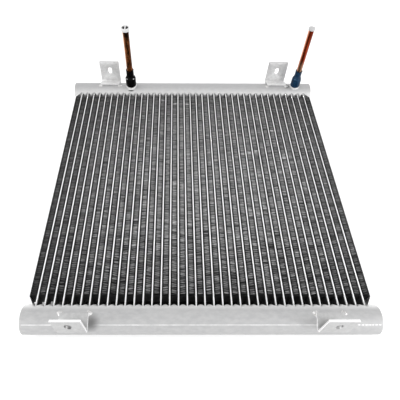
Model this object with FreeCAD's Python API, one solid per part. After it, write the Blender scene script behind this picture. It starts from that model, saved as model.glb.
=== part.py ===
"""A parallel-flow refrigeration condenser, lying flat.

Two round headers lie along X, one at the front (-Y) and one at the rear (+Y). Flat tubes run
between them along Y, with a folded fin strip between each two tubes and one outside each end
tube. Both pipe stubs stand on the rear header, and four slotted brackets hug the headers.
Millimetres, +Z up, Z = 0 under the headers, X and Y measured from the middle of the part.
"""

import FreeCAD
import Part
import math
import os

# Flat tubes
tube_count = 38
tube_thickness = 1.8
core_depth = 18.0
tube_edge_bevel = 0.6
pass_tube_counts = (16, 10, 7, 5)

# Folded fins: the real fold is about 1.3 mm a leg, drawn here with fewer, longer legs
fin_height = 8.0
fin_sheet = 0.12
fin_length = 339.0
fin_offset = 1.5
fold_count = 18
braze_gap = 0.02

# Headers
header_diameter = 32.0
header_wall = 2.0
header_overhang = 12.2
header_spacing = 382.0
tube_insertion = 10.0
slot_clearance = 0.08
slot_margin = 0.25
dimple_floor_margin = 0.5
rib_crest = 1.6
rib_flats = 3
cap_thickness = 2.5
baffle_clearance = 0.1
baffle_thickness = 2.0

# Side plates
side_plate_thickness = 1.2
side_plate_end_inset = 5.6

# Brackets
bracket_width = 31.0
bracket_thickness = 2.5
bracket_top = 64.0
bracket_bend_radius = 2.0
bracket_overreach = 4.0
seat_gap = 0.1
bracket_left_x = -135.5
bracket_right_x = 137.5
bracket_slot_width = 6.5
bracket_slot_length = 12.0
bracket_slot_height = 48.0
bracket_corner_radius = 1.0

# Pipe connections: the inlet on the left, the outlet on the right
inlet_x = -101.0
inlet_pipe_diameter = 9.52
inlet_stub_diameter = 14.0
inlet_stub_top = 47.0
inlet_shoulder = 50.5
inlet_sleeve_top = 62.0
inlet_pipe_top = 127.5
inlet_plug_diameter = 12.3
inlet_plug_head = 5.0
inlet_plug_recess = 3.0
outlet_x = 167.7
outlet_pipe_diameter = 7.94
outlet_stub_diameter = 12.2
outlet_stub_top = 45.5
outlet_shoulder = 52.0
outlet_sleeve_top = 61.5
outlet_pipe_top = 130.0
outlet_plug_diameter = 9.4
outlet_plug_head = 3.0
pipe_wall = 0.8
joint_clearance = 0.05
stub_insertion = 2.0
sleeve_wall = 1.2
sleeve_seat = 0.4
plug_spigot = 8.0
plug_rim = 1.4
plug_rib = 2.0


V = FreeCAD.Vector
ALONG_X = V(1, 0, 0)
ALONG_Z = V(0, 0, 1)

FRONT = -1
REAR = 1
SIDE_NAMES = {FRONT: "front", REAR: "rear"}
END_NAMES = {-1: "left", 1: "right"}

header_radius = header_diameter / 2.0
bore_radius = header_radius - header_wall
axis_height = header_radius
slot_half_width = tube_thickness / 2.0 + slot_clearance
slot_half_height = core_depth / 2.0 + slot_clearance
dimple_reach = math.sqrt(header_radius**2 - (slot_half_height + slot_margin) ** 2)
bore_flat_reach = math.sqrt(bore_radius**2 - (slot_half_height + slot_margin) ** 2)
header_top = header_diameter
tube_pitch = fin_height + tube_thickness
tube_length = header_spacing - 2.0 * (header_radius - tube_insertion)
core_half_width = tube_count * tube_pitch / 2.0 + fin_height / 2.0
header_length = (tube_count - 1) * tube_pitch + 2.0 * header_overhang
fin_start = fin_offset - fin_length / 2.0
fin_end = fin_offset + fin_length / 2.0


class Port:
    """The sizes of one pipe connection on the rear header."""

    def __init__(self, name, x, pipe_diameter, stub_diameter, stub_top, shoulder, sleeve_top,
                 pipe_top, plug_diameter, plug_head, plug_recess):
        self.name = name
        self.x = x
        self.pipe_radius = pipe_diameter / 2.0
        self.stub_radius = stub_diameter / 2.0
        self.stub_top = stub_top
        self.shoulder = shoulder
        self.sleeve_top = sleeve_top
        self.pipe_top = pipe_top
        self.plug_radius = plug_diameter / 2.0
        self.plug_head = plug_head
        self.plug_recess = plug_recess


def tube_x(index):
    """X of the middle of a flat tube, counted from the left."""
    return (index - (tube_count - 1) / 2.0) * tube_pitch


def fin_x(index):
    """X of the middle of a fin strip, counted from the left."""
    return (index - tube_count / 2.0) * tube_pitch


def header_y(side):
    """Y of a header's axis."""
    return side * header_spacing / 2.0


def pass_ranges():
    """First and last-plus-one tube of each refrigerant pass, from the left."""
    ranges = []
    first = 0
    for count in pass_tube_counts:
        ranges.append((first, min(first + count, tube_count)))
        first += count
    return ranges


def save(shape, node):
    """Write one sub-part as a STEP file."""
    if not shape.isValid():
        raise ValueError(node + " is not a valid shape")
    shape.exportStep(os.path.join("parts", node + ".step"))


def polygon(points):
    """A closed wire of straight edges."""
    return Part.makePolygon(list(points) + [points[0]])


def prism(wire, along):
    """A solid made by pushing a closed flat wire along a vector."""
    return Part.Face(wire).extrude(along)


def turned(points, x, y):
    """A solid turned about the upright line through (x, y) from (radius, z) points."""
    wire = polygon([V(x + radius, y, z) for radius, z in points])
    return Part.Face(wire).revolve(V(x, y, 0), ALONG_Z, 360)


def upright_oblong(x, y, z, half_width, half_height, length):
    """A bar of that length along Y, with an upright oblong section centred on (x, z)."""
    straight = half_height - half_width
    low_left = V(x - half_width, y, z - straight)
    high_left = V(x - half_width, y, z + straight)
    crown = V(x, y, z + half_height)
    high_right = V(x + half_width, y, z + straight)
    low_right = V(x + half_width, y, z - straight)
    foot = V(x, y, z - half_height)
    edges = [
        Part.LineSegment(low_left, high_left).toShape(),
        Part.Arc(high_left, crown, high_right).toShape(),
        Part.LineSegment(high_right, low_right).toShape(),
        Part.Arc(low_right, foot, low_left).toShape(),
    ]
    return prism(Part.Wire(edges), V(0, length, 0))


def flat_bar(x, y, half_width, half_height, length):
    """A bar along Y at the core's mid height: a flat oblong section with bevelled edges."""
    bevel = tube_edge_bevel
    corners = []
    for across, up in ((-1, -1), (1, -1), (1, 1), (-1, 1)):
        beside = V(x + across * (half_width - bevel), y, axis_height + up * half_height)
        above = V(x + across * half_width, y, axis_height + up * (half_height - bevel))
        corners += [above, beside] if across * up > 0 else [beside, above]
    return prism(polygon(corners), V(0, length, 0))


def flat_tube(x):
    """A flat tube that reaches into both headers."""
    half_width = tube_thickness / 2.0
    return flat_bar(x, -tube_length / 2.0, half_width, core_depth / 2.0, tube_length)


def fin_strip(x):
    """A strip folded to and fro between two tubes, its crests touching both.

    Both faces of a thin zigzag are the same broken line, moved apart along X.
    """
    step = fin_length / fold_count
    height = fin_height - 2.0 * braze_gap
    slope_share = 1.0 - (fin_sheet / step) ** 2
    spread = height**2 - slope_share * (height**2 - fin_sheet**2)
    crest_span = (height - math.sqrt(spread)) / slope_share
    half_sheet = (height - crest_span) / 2.0
    low = axis_height - core_depth / 2.0
    near_face = []
    far_face = []
    for fold in range(fold_count + 1):
        y = fin_start + fold * step
        crest = x + crest_span / 2.0 * (1 if fold % 2 else -1)
        near_face.append(V(crest - half_sheet, y, low))
        far_face.append(V(crest + half_sheet, y, low))
    return prism(polygon(near_face + far_face[::-1]), V(0, 0, core_depth))


def header_cylinder(side, radius, length):
    """A round bar on a header's axis, centred on X = 0."""
    start = V(-length / 2.0, header_y(side), axis_height)
    return Part.makeCylinder(radius, length, start, ALONG_X)


def bore_bar(side, start, length, clearance):
    """A bar of the headers' bore section: round, with a flat on the tubes' side.

    The flat is just tall enough for the tubes' slots.
    """
    radius = bore_radius - clearance
    flat = bore_flat_reach - clearance
    half_height = math.sqrt(radius**2 - flat**2)
    centre = V(start, header_y(side), axis_height)
    low = centre + V(0, -side * flat, -half_height)
    high = centre + V(0, -side * flat, half_height)
    back = centre + V(0, side * radius, 0)
    edges = [Part.Arc(low, back, high).toShape(), Part.LineSegment(high, low).toShape()]
    return prism(Part.Wire(edges), V(length, 0, 0))


def header_bar(side, length):
    """A bar of the headers' outer section: round, with small flats where the ribs are.

    The flats run from the foot to the top of the dimples and lie within 0.4 mm of the round.
    """
    reach = math.asin((slot_half_height + slot_margin) / header_radius)
    centre = V(-length / 2.0, header_y(side), axis_height)

    def on_round(angle):
        across = -side * header_radius * math.cos(angle)
        return centre + V(0, across, header_radius * math.sin(angle))

    back = centre + V(0, side * header_radius, 0)
    edges = [Part.Arc(on_round(-reach), back, on_round(reach)).toShape()]
    for flat in range(rib_flats):
        upper = reach * (1.0 - 2.0 * flat / rib_flats)
        lower = reach * (1.0 - 2.0 * (flat + 1) / rib_flats)
        edges.append(Part.LineSegment(on_round(upper), on_round(lower)).toShape())
    return prism(Part.Wire(edges), V(length, 0, 0))


def dimple(side, x):
    """The cut that presses the header's face in around one tube.

    Its flat floor is just tall enough for the tube's slot, and its sides flare out to leave
    a narrow pointed rib between each two tubes.
    """
    depth = header_radius - dimple_reach
    floor_half_width = tube_thickness / 2.0 + dimple_floor_margin
    mouth_half_width = (tube_pitch - rib_crest) / 2.0
    flare = (mouth_half_width - floor_half_width) / depth
    proud = rib_crest / 4.0 / flare
    top_half_width = mouth_half_width + proud * flare
    floor_y = header_y(side) - side * dimple_reach
    top_y = header_y(side) - side * (header_radius + proud)
    wire = polygon([
        V(x - floor_half_width, floor_y, 0),
        V(x + floor_half_width, floor_y, 0),
        V(x + top_half_width, top_y, 0),
        V(x - top_half_width, top_y, 0),
    ])
    return prism(wire, V(0, 0, header_top))


def header_tube(side, ports):
    """A round header with a dimpled slot for each tube and a hole for each pipe stub."""
    length = header_length - 2.0 * cap_thickness
    tube = header_bar(side, length)
    dimples = []
    slots = []
    slot_start = min(header_y(side), header_y(side) - side * header_radius)
    for index in range(tube_count):
        x = tube_x(index)
        dimples.append(dimple(side, x))
        slots.append(flat_bar(x, slot_start, slot_half_width, slot_half_height, header_radius))
    tube = tube.cut(Part.makeCompound(dimples))
    tube = tube.cut(bore_bar(side, -length / 2.0, length, 0.0))
    tube = tube.cut(Part.makeCompound(slots))
    for port in ports:
        base = V(port.x, header_y(side), axis_height)
        hole = Part.makeCylinder(port.stub_radius + joint_clearance, header_diameter, base, ALONG_Z)
        tube = tube.cut(hole)
    return tube


def end_cap(side, end):
    """A round disc brazed over the header's end."""
    seat = V(end * (header_length / 2.0 - cap_thickness), header_y(side), axis_height)
    return Part.makeCylinder(header_radius, cap_thickness, seat, V(end, 0, 0))


def baffle(side, tubes_before):
    """A plate inside a header that ends one pass, half way between two tubes."""
    middle = (tube_x(tubes_before - 1) + tube_x(tubes_before)) / 2.0
    return bore_bar(side, middle - baffle_thickness / 2.0, baffle_thickness, baffle_clearance)


def side_plate(end):
    """A flat strip outside the end fin, bent in at both ends to meet the headers."""
    face = core_half_width
    back = core_half_width + side_plate_thickness
    surface_reach = math.sqrt(header_radius**2 - (core_depth / 2.0) ** 2)
    front_stop = header_y(FRONT) + surface_reach
    rear_stop = header_y(REAR) - surface_reach
    inset = side_plate_end_inset
    front_run = fin_start - front_stop
    rear_run = rear_stop - fin_end
    front_tilt = math.atan2(inset, front_run)
    rear_tilt = math.atan2(inset, rear_run)
    front_shift = side_plate_thickness * math.tan(front_tilt / 2.0)
    rear_shift = side_plate_thickness * math.tan(rear_tilt / 2.0)
    overrun = 2.0
    front_tip = V(face - inset * overrun, fin_start - front_run * overrun, 0)
    rear_tip = V(face - inset * overrun, fin_end + rear_run * overrun, 0)
    front_across = V(math.cos(front_tilt), -math.sin(front_tilt), 0) * side_plate_thickness
    rear_across = V(math.cos(rear_tilt), math.sin(rear_tilt), 0) * side_plate_thickness
    corners = [
        V(face, fin_start, 0),
        V(face, fin_end, 0),
        rear_tip,
        rear_tip + rear_across,
        V(back, fin_end + rear_shift, 0),
        V(back, fin_start - front_shift, 0),
        front_tip + front_across,
        front_tip,
    ]
    low = axis_height - core_depth / 2.0
    outline = [V(end * (point.x + braze_gap), point.y, low) for point in corners]
    plate = prism(polygon(outline), V(0, 0, core_depth))
    for side in (FRONT, REAR):
        plate = plate.cut(header_cylinder(side, header_radius + seat_gap, header_length))
    return max(plate.Solids, key=lambda solid: solid.Volume)


def bracket(side, centre_x):
    """A slotted upright plate, bent at its foot into a saddle that hugs the header.

    The section is a saddle arc about the header's axis and a bend arc about a centre above the
    strip. The two meet where the line through both centres crosses the strip.
    """
    saddle_in = header_radius + seat_gap
    saddle_out = saddle_in + bracket_thickness
    bend_in = bracket_bend_radius
    bend_out = bracket_bend_radius + bracket_thickness
    bend_y = header_radius - bend_in
    centre_distance = saddle_in + bend_out
    bend_z = math.sqrt(centre_distance**2 - bend_y**2)
    meet = math.atan2(bend_z, bend_y)
    start = math.radians(90.0 + bracket_overreach)
    top_z = bracket_top - axis_height
    left = centre_x - bracket_width / 2.0

    def at(y, z):
        return V(left, header_y(side) + side * y, axis_height + z)

    def on_saddle(radius, angle):
        return at(radius * math.cos(angle), radius * math.sin(angle))

    def on_bend(radius, angle):
        return at(bend_y + radius * math.cos(angle), bend_z + radius * math.sin(angle))

    def saddle_arc(radius, first, last):
        middle = on_saddle(radius, (first + last) / 2.0)
        return Part.Arc(on_saddle(radius, first), middle, on_saddle(radius, last)).toShape()

    def bend_arc(radius, first, last):
        middle = on_bend(radius, (first + last) / 2.0)
        return Part.Arc(on_bend(radius, first), middle, on_bend(radius, last)).toShape()

    bend_start = meet - math.pi
    edges = [
        saddle_arc(saddle_in, start, meet),
        bend_arc(bend_out, bend_start, 0.0),
        Part.LineSegment(on_bend(bend_out, 0.0), at(bend_y + bend_out, top_z)).toShape(),
        Part.LineSegment(at(bend_y + bend_out, top_z), at(bend_y + bend_in, top_z)).toShape(),
        Part.LineSegment(at(bend_y + bend_in, top_z), on_bend(bend_in, 0.0)).toShape(),
        bend_arc(bend_in, 0.0, bend_start),
        saddle_arc(saddle_out, meet, start),
        Part.LineSegment(on_saddle(saddle_out, start), on_saddle(saddle_in, start)).toShape(),
    ]
    strip = prism(Part.Wire(edges), V(bracket_width, 0, 0))
    corner_edges = []
    for edge in strip.Edges:
        box = edge.BoundBox
        if box.ZMin > bracket_top - 0.001 and box.YLength > bracket_thickness / 2.0:
            corner_edges.append(edge)
    strip = strip.makeFillet(bracket_corner_radius, corner_edges)
    slot_start = header_y(side) + side * header_radius - header_radius / 2.0
    slot = upright_oblong(
        centre_x,
        slot_start,
        bracket_slot_height,
        bracket_slot_width / 2.0,
        bracket_slot_length / 2.0,
        header_radius,
    )
    return strip.cut(slot)


def ring(x, y, inner_radius, outer_radius, bottom, top):
    """An upright round tube."""
    profile = [(inner_radius, bottom), (outer_radius, bottom), (outer_radius, top), (inner_radius, top)]
    return turned(profile, x, y)


def stub(port):
    """A short tube set in the header, which the pipe is brazed into."""
    bottom = header_top - header_wall - stub_insertion
    socket = port.pipe_radius + joint_clearance
    return ring(port.x, header_y(REAR), socket, port.stub_radius, bottom, port.stub_top)


def pipe(port):
    """A straight copper pipe that stands in the stub, flush with its foot."""
    bottom = header_top - header_wall - stub_insertion
    bore = port.pipe_radius - pipe_wall
    return ring(port.x, header_y(REAR), bore, port.pipe_radius, bottom, port.pipe_top)


def sleeve(port):
    """A shrunk sleeve, wide over the stub and narrow over the pipe, with a sloping shoulder."""
    wide = port.stub_radius + joint_clearance
    narrow = port.pipe_radius + joint_clearance
    bottom = header_top + sleeve_seat
    slope = port.stub_top + joint_clearance
    return turned(
        [
            (wide, bottom),
            (wide + sleeve_wall, bottom),
            (wide + sleeve_wall, slope),
            (narrow + sleeve_wall, port.shoulder),
            (narrow + sleeve_wall, port.sleeve_top),
            (narrow, port.sleeve_top),
            (narrow, slope),
            (wide, slope),
        ],
        port.x,
        header_y(REAR),
    )


def plug(port):
    """The plug in a pipe's open end: a round head, and a spigot inside the pipe."""
    spigot = port.pipe_radius - pipe_wall - joint_clearance
    seat = port.pipe_top + joint_clearance
    top = port.pipe_top + port.plug_head
    body = turned(
        [
            (0.0, port.pipe_top - plug_spigot),
            (spigot, port.pipe_top - plug_spigot),
            (spigot, seat),
            (port.plug_radius, seat),
            (port.plug_radius, top),
            (0.0, top),
        ],
        port.x,
        header_y(REAR),
    )
    if port.plug_recess > 0.0:
        floor = V(port.x, header_y(REAR), top - port.plug_recess)
        pocket = Part.makeCylinder(port.plug_radius - plug_rim, port.plug_recess, floor, ALONG_Z)
        corner = floor - V(plug_rib / 2.0, port.plug_radius, 0)
        rib = Part.makeBox(plug_rib, 2.0 * port.plug_radius, port.plug_recess, corner)
        body = body.cut(pocket.cut(rib))
    return body


def main():
    """Build every sub-part and write it."""
    os.makedirs("parts", exist_ok=True)
    inlet = Port("inlet", inlet_x, inlet_pipe_diameter, inlet_stub_diameter, inlet_stub_top,
                 inlet_shoulder, inlet_sleeve_top, inlet_pipe_top, inlet_plug_diameter,
                 inlet_plug_head, inlet_plug_recess)
    outlet = Port("outlet", outlet_x, outlet_pipe_diameter, outlet_stub_diameter, outlet_stub_top,
                  outlet_shoulder, outlet_sleeve_top, outlet_pipe_top, outlet_plug_diameter,
                  outlet_plug_head, 0.0)
    ports = (inlet, outlet)

    for number, (first, last) in enumerate(pass_ranges(), start=1):
        tubes = [flat_tube(tube_x(index)) for index in range(first, last)]
        save(Part.makeCompound(tubes), "tubes_pass_" + str(number))
        last_fin = last + 1 if last == tube_count else last
        fins = [fin_strip(fin_x(index)) for index in range(first, last_fin)]
        save(Part.makeCompound(fins), "fins_pass_" + str(number))

    save(header_tube(FRONT, ()), "header_front")
    save(header_tube(REAR, ports), "header_rear")
    for side in (FRONT, REAR):
        for end in (-1, 1):
            save(end_cap(side, end), "end_cap_" + SIDE_NAMES[side] + "_" + END_NAMES[end])

    first_turn, second_turn, third_turn = [last for first, last in pass_ranges()][:3]
    save(baffle(REAR, first_turn), "baffle_rear_left")
    save(baffle(FRONT, second_turn), "baffle_front")
    save(baffle(REAR, third_turn), "baffle_rear_right")

    for end in (-1, 1):
        save(side_plate(end), "side_plate_" + END_NAMES[end])
        centre_x = bracket_left_x if end < 0 else bracket_right_x
        for side in (FRONT, REAR):
            save(bracket(side, centre_x), "bracket_" + SIDE_NAMES[side] + "_" + END_NAMES[end])

    for port in ports:
        save(stub(port), port.name + "_stub")
        save(pipe(port), port.name + "_pipe")
        save(sleeve(port), port.name + "_sleeve")
        save(plug(port), port.name + "_plug")


main()
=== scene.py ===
"""Looks of a parallel-flow refrigeration condenser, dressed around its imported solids.

The condenser lies flat: two round headers along X, flat tubes and folded fins between them along
Y, both pipes upright on the rear header, and four slotted brackets. Metres, +Z up.
"""

import logging
import math
from collections.abc import Callable
from dataclasses import dataclass, replace
from enum import Enum

import bpy
import numpy as np
from mathutils import Matrix, Vector


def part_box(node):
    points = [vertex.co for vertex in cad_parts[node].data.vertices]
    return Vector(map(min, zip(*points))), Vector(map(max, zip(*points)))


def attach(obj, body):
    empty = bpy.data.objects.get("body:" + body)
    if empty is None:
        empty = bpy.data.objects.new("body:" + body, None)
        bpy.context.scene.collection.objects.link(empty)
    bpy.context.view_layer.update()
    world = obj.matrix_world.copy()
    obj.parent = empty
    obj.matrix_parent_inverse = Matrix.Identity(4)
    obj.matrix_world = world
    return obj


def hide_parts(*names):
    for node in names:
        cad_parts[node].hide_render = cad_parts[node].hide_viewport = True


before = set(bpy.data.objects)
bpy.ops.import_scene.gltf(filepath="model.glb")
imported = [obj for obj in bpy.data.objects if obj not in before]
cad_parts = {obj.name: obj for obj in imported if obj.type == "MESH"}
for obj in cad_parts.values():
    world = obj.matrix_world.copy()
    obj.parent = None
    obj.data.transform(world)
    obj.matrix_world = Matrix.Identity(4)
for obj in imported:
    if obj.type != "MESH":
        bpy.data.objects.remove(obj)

LOG = logging.getLogger("condenser")

MM = 0.001
BODY = "root"

TUBE_COUNT = 38
TUBE_THICKNESS = 1.8 * MM
PASS_COUNT = 4
FOLD_PITCH = 1.3 * MM
SHEET = 0.14 * MM
SHARP_ANGLE = 40.0

# How far a bead or fillet goes into the metal under it
SUNK = 0.05 * MM

# Softened copies: how near two corners are merged, and the turn of an even face and of an edge
MERGE_REACH = 0.002 * MM
EVEN_ANGLE = 1.0
EDGE_ANGLE = 35.0

# Where a few bent folds are painted at full brightness as painted highlights, in millimetres
BENT_FINS = ((-49, 163), (-28, 154), (-14, 153), (67, 47), (76, 49), (86, 50), (115, 93), (132, 38))

# The photograph's camera, solved from the tubes, the fin corners and the headers
IMAGE_SIZE = 400.0
FOCAL_PIXELS = 384.5
CENTRE_PIXEL = (178.526, 199.184)
CAMERA_PLACE = (-0.027892, -0.330205, 0.436510)
CAMERA_PITCH = 54.314
CAMERA_YAW = 0.733
CAMERA_ROLL = 0.705
SENSOR_WIDTH = 36.0

# Noise detail and roughness of the patches and of the grain
PATCH_NOISE = {"Detail": 5.0, "Roughness": 0.6}
GRAIN_NOISE = {"Detail": 3.0, "Roughness": 0.7}

Triple = tuple[float, float, float]
Colour = Triple
Piece = bpy.types.Object
Metal = bpy.types.Material
Tree = bpy.types.NodeTree
Node = bpy.types.Node
Socket = bpy.types.NodeSocket
Sockets = bpy.types.bpy_prop_collection
Fill = Callable[[Tree, Sockets], Socket]


class Side(Enum):
    """Which header: the one nearer the camera or the one with the pipes."""

    FRONT = -1
    REAR = 1


class End(Enum):
    """Which end of a header."""

    LEFT = -1
    RIGHT = 1


def node_name(kind: str, side: Side, end: End | None = None) -> str:
    """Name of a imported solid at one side, or at one end of a side."""
    places = (side,) if end is None else (side, end)
    return "_".join((kind, *(place.name.lower() for place in places)))


def tube_pitch() -> float:
    """Distance between two tubes' middles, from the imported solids."""
    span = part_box("tubes_pass_" + str(PASS_COUNT))[1][0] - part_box("tubes_pass_1")[0][0]
    return (span - TUBE_THICKNESS) / (TUBE_COUNT - 1)


def first_tube_x() -> float:
    """X of the middle of the leftmost tube."""
    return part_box("tubes_pass_1")[0][0] + TUBE_THICKNESS / 2.0


# Meshes from grids of points


def full_turn(steps: int) -> np.ndarray:
    """Evenly spaced angles of one whole turn, from 0."""
    return np.linspace(0.0, 2.0 * math.pi, steps, endpoint=False)


def grid_quads(rows: int, columns: int, wrap_rows: bool, wrap_columns: bool) -> np.ndarray:
    """Corner numbers of the quads of a grid, numbered row by row.

    Args:
        rows: Number of rows of points.
        columns: Number of points in a row.
        wrap_rows: Whether the last row joins the first.
        wrap_columns: Whether the last column joins the first.

    Returns:
        An array of shape (quads, 4).
    """
    row = np.arange(rows if wrap_rows else rows - 1)[:, None]
    column = np.arange(columns if wrap_columns else columns - 1)[None, :]
    next_row = (row + 1) % rows
    next_column = (column + 1) % columns
    corners = (
        row * columns + column,
        next_row * columns + column,
        next_row * columns + next_column,
        row * columns + next_column,
    )
    grids = [np.broadcast_to(corner, (row.size, column.size)) for corner in corners]
    return np.stack(grids, axis=-1).reshape(-1, 4)


def fan(ring: np.ndarray, centre: int, forward: bool) -> np.ndarray:
    """Triangles from a closed ring of corners to one centre corner.

    Args:
        ring: Corner numbers in order round the ring.
        centre: Corner number of the middle.
        forward: Whether the ring's order already faces outwards.

    Returns:
        An array of shape (ring, 3).
    """
    after = np.roll(ring, -1)
    first, second = (ring, after) if forward else (after, ring)
    return np.stack([np.full_like(ring, centre), first, second], axis=-1)


def new_piece(
    name: str,
    points: np.ndarray,
    quads: np.ndarray,
    triangles: np.ndarray | None = None,
    smooth: bool = True,
) -> Piece:
    """A mesh object from whole arrays.

    Args:
        name: Name of the object and its mesh.
        points: Corner places, the last axis of length 3.
        quads: Corner numbers of four-sided faces, shape (m, 4).
        triangles: Corner numbers of three-sided faces, or None.
        smooth: Whether the faces are shaded smooth.

    Returns:
        The new object, linked to the scene at the origin.
    """
    points = points.reshape(-1, 3)
    triangles = np.empty((0, 3), dtype=np.int64) if triangles is None else triangles
    corners = np.concatenate([quads.ravel(), triangles.ravel()]).astype(np.int32)
    sizes = np.concatenate([np.full(len(quads), 4), np.full(len(triangles), 3)]).astype(np.int32)
    starts = np.concatenate([[0], np.cumsum(sizes)[:-1]]).astype(np.int32)
    mesh = bpy.data.meshes.new(name)
    mesh.vertices.add(len(points))
    mesh.vertices.foreach_set("co", np.ascontiguousarray(points, dtype=np.float32).ravel())
    mesh.loops.add(len(corners))
    mesh.loops.foreach_set("vertex_index", corners)
    mesh.polygons.add(len(sizes))
    mesh.polygons.foreach_set("loop_start", starts)
    mesh.polygons.foreach_set("use_smooth", np.full(len(sizes), smooth))
    mesh.update(calc_edges=True)
    mesh.validate()
    if smooth:
        mesh.set_sharp_from_angle(angle=math.radians(SHARP_ANGLE))
    piece = bpy.data.objects.new(name, mesh)
    bpy.context.scene.collection.objects.link(piece)
    return piece


def lofted_piece(name: str, rings: np.ndarray, poles: np.ndarray, forward: bool) -> Piece:
    """A closed solid through rings of corners, with a fan of triangles at each end.

    Args:
        name: Name of the piece.
        rings: The corners, shape (rings, corners in a ring, 3).
        poles: Middle of the first and of the last end, shape (2, 3).
        forward: Whether the corners run so that the faces have to be turned round.

    Returns:
        The new object.
    """
    rows, columns = rings.shape[:2]
    quads = grid_quads(rows, columns, False, True)
    if forward:
        quads = quads[:, ::-1]
    ring = np.arange(columns)
    centre = rows * columns
    triangles = np.concatenate([
        fan(ring, centre, not forward),
        fan(ring + centre - columns, centre + 1, forward),
    ])
    return new_piece(name, np.concatenate([rings.reshape(-1, 3), poles]), quads, triangles)


def turned_piece(
    name: str, profile: np.ndarray, place: Triple, steps: int, along_x: bool = False, facing: int = 1
) -> Piece:
    """A closed solid turned from a profile of (radius, height) points.

    Corner (i, j) lies at radius profile[i, 0] and angle 2 pi j / steps about the axis, which
    stands on Z, or lies on X. The first and last points of the profile lie on the axis.

    Args:
        name: Name of the piece.
        profile: Shape (n, 2), from the foot to the top, both ends on the axis.
        place: The axis' foot.
        steps: Corners round the axis.
        along_x: Whether the axis lies on X instead of Z.
        facing: 1 or -1, the way along X that the profile's height counts.

    Returns:
        The new object.
    """
    angle = full_turn(steps)
    across = profile[1:-1, 0, None] * np.cos(angle)
    beside = profile[1:-1, 0, None] * np.sin(angle)
    height = np.broadcast_to(profile[1:-1, 1, None], across.shape)
    poles = np.zeros((2, 3))
    if along_x:
        rings = np.stack([height * facing, across, beside * facing], axis=-1)
        poles[:, 0] = profile[[0, -1], 1] * facing
    else:
        rings = np.stack([across, beside, height], axis=-1)
        poles[:, 2] = profile[[0, -1], 1]
    return lofted_piece(name, rings + np.array(place), poles + np.array(place), True)


def rounded(corners: list[tuple[float, float]], radius: float, steps: int) -> np.ndarray:
    """A broken line with each inner corner rounded by a quadratic curve.

    Args:
        corners: The line's points.
        radius: How far from a corner its rounding starts, at most half of each run.
        steps: Points in each rounding.

    Returns:
        The rounded line without doubled points, shape (n, 2).
    """
    line = np.array(corners, dtype=float)
    t = np.linspace(0.0, 1.0, steps)[:, None]
    parts = [line[:1]]
    for before, corner, after in zip(line[:-2], line[1:-1], line[2:]):
        start = corner + (before - corner) * min(radius / np.linalg.norm(corner - before), 0.5)
        end = corner + (after - corner) * min(radius / np.linalg.norm(after - corner), 0.5)
        parts.append((1 - t) ** 2 * start + 2 * t * (1 - t) * corner + t**2 * end)
    points = np.concatenate([*parts, line[-1:]])
    apart = np.linalg.norm(np.diff(points, axis=0), axis=1) > 1e-6 * MM
    return points[np.concatenate([[True], apart])]


def softened_copy(node: str, width: float) -> Piece:
    """A merged copy of a solid's mesh, with its sharp edges broken by a small bevel.

    Args:
        node: Name of the solid's node.
        width: Width of the bevel.

    Returns:
        The new object.
    """
    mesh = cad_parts[node].data.copy()
    mesh.name = node + "_looks"
    mesh.materials.clear()
    piece = bpy.data.objects.new(node + "_looks", mesh)
    bpy.context.scene.collection.objects.link(piece)
    weld = piece.modifiers.new("weld", "WELD")
    weld.merge_threshold = MERGE_REACH
    flat = piece.modifiers.new("flat", "DECIMATE")
    flat.decimate_type = "DISSOLVE"
    flat.angle_limit = math.radians(EVEN_ANGLE)
    bevel = piece.modifiers.new("bevel", "BEVEL")
    bevel.width = width
    bevel.segments = 2
    bevel.limit_method = "ANGLE"
    bevel.angle_limit = math.radians(EDGE_ANGLE)
    bevel.harden_normals = True
    mesh.shade_smooth()
    return piece


def seat(piece: Piece, material: Metal, slot: str, *nodes: str) -> None:
    """Dress a piece, tie it to the body and let it stand for its solids.

    Args:
        piece: The new piece.
        material: Its finish.
        slot: The record's material slot; not used.
        nodes: Solids that the piece replaces.
    """
    piece.data.materials.clear()
    piece.data.materials.append(material)
    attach(piece, BODY)
    if nodes:
        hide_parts(*nodes)
    LOG.info("%s: %d corners", piece.name, len(piece.data.vertices))


def dress_node(node: str, material: Metal) -> None:
    """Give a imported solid, shown as it is, its finish.

    Args:
        node: The solid's node.
        material: Its finish.
    """
    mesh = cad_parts[node].data
    mesh.materials.clear()
    mesh.materials.append(material)


# Shader nodes


def fill_inputs(tree: Tree, node: Node, values: dict[str | int, object]) -> None:
    """Set or link a node's inputs.

    Args:
        tree: The node's tree.
        node: The node.
        values: A value or a source socket for each input, by its name or number.
    """
    for key, value in values.items():
        if isinstance(value, Socket):
            tree.links.new(value, node.inputs[key])
        else:
            node.inputs[key].default_value = value


def add_node(
    tree: Tree, kind: str, values: dict[str | int, object] | None = None, **options: object
) -> Node:
    """Add a shader node.

    Args:
        tree: The node tree.
        kind: The node's type, without ShaderNode in front.
        values: A value or a source socket for each input.
        options: Values of the node's own options.

    Returns:
        The new node.
    """
    node = tree.nodes.new("ShaderNode" + kind)
    for option, value in options.items():
        setattr(node, option, value)
    fill_inputs(tree, node, values or {})
    return node


def calculate(tree: Tree, operation: str, *values: float | Socket) -> Socket:
    """Result of a math node, such as ADD, on one or two values."""
    return add_node(tree, "Math", dict(enumerate(values)), operation=operation).outputs[0]


def calculate_vector(tree: Tree, operation: str, *values: Triple | Socket) -> Node:
    """A vector math node, such as DIVIDE, on one or two vectors."""
    return add_node(tree, "VectorMath", dict(enumerate(values)), operation=operation)


def split(tree: Tree, vector: Socket) -> Sockets:
    """The X, Y and Z of a vector, by name."""
    return add_node(tree, "SeparateXYZ", {0: vector}).outputs


def object_place(tree: Tree) -> Socket:
    """The object's coordinates."""
    return add_node(tree, "TexCoord").outputs["Object"]


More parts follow.
